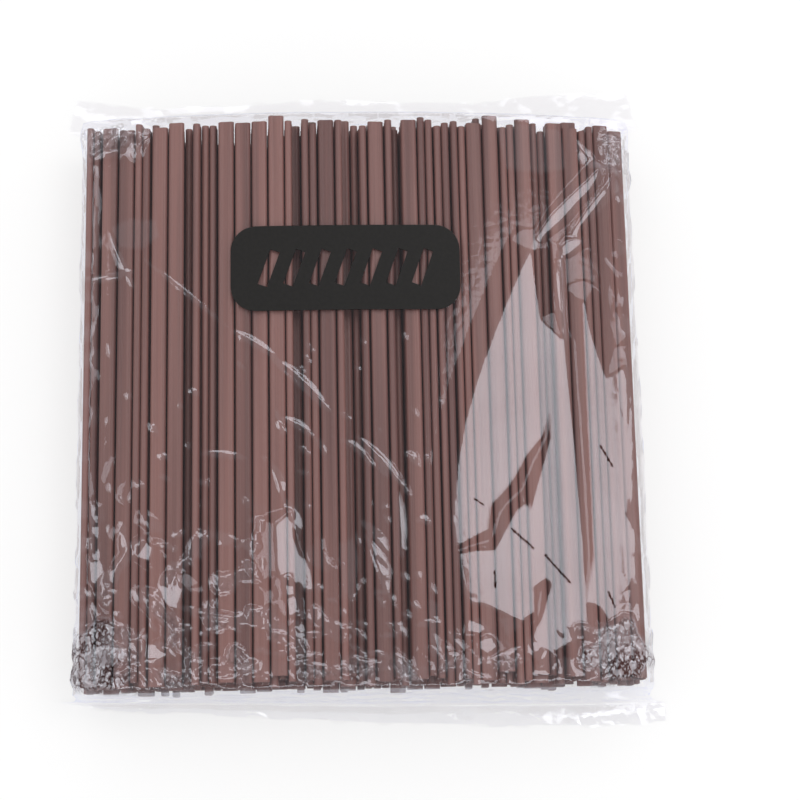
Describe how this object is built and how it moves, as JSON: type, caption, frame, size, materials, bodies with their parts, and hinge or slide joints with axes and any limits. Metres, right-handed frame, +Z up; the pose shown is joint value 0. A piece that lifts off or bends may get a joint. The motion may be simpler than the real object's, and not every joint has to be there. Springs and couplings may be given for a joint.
{
  "type": "bagged pack of drinking straws",
  "caption": "Sealed clear film bag packed with flat brown drinking straws, lying flat, with a plain printed panel on the film.",
  "frame": {"origin": "on the surface the pack lies on, under the middle of the bag's outer box", "axes": "+X across the pack's width, +Y along the straws towards the longer end seal, +Z up"},
  "size_m": [0.1966, 0.2182, 0.038],
  "materials": {
    "film": "clear thin crinkled film",
    "print": "dark flexographic print",
    "straw": "satin extruded polypropylene"
  },
  "bodies": {
    "root": {"film_bag": "film", "printed_panel": "print", "straws_01": "straw", "straws_02": "straw", "straws_03": "straw", "straws_04": "straw", "straws_05": "straw", "straws_06": "straw", "straws_07": "straw", "straws_08": "straw", "straws_09": "straw", "straws_10": "straw", "straws_11": "straw", "straws_12": "straw", "straws_13": "straw", "straws_14": "straw", "straws_15": "straw", "straws_16": "straw", "straws_17": "straw", "straws_18": "straw", "straws_19": "straw", "straws_20": "straw", "straws_21": "straw", "straws_22": "straw", "straws_23": "straw", "straws_24": "straw", "straws_25": "straw", "straws_26": "straw", "straws_27": "straw", "straws_28": "straw", "straws_29": "straw", "straws_30": "straw", "straws_31": "straw", "straws_32": "straw", "straws_33": "straw"}
  },
  "joints": []
}
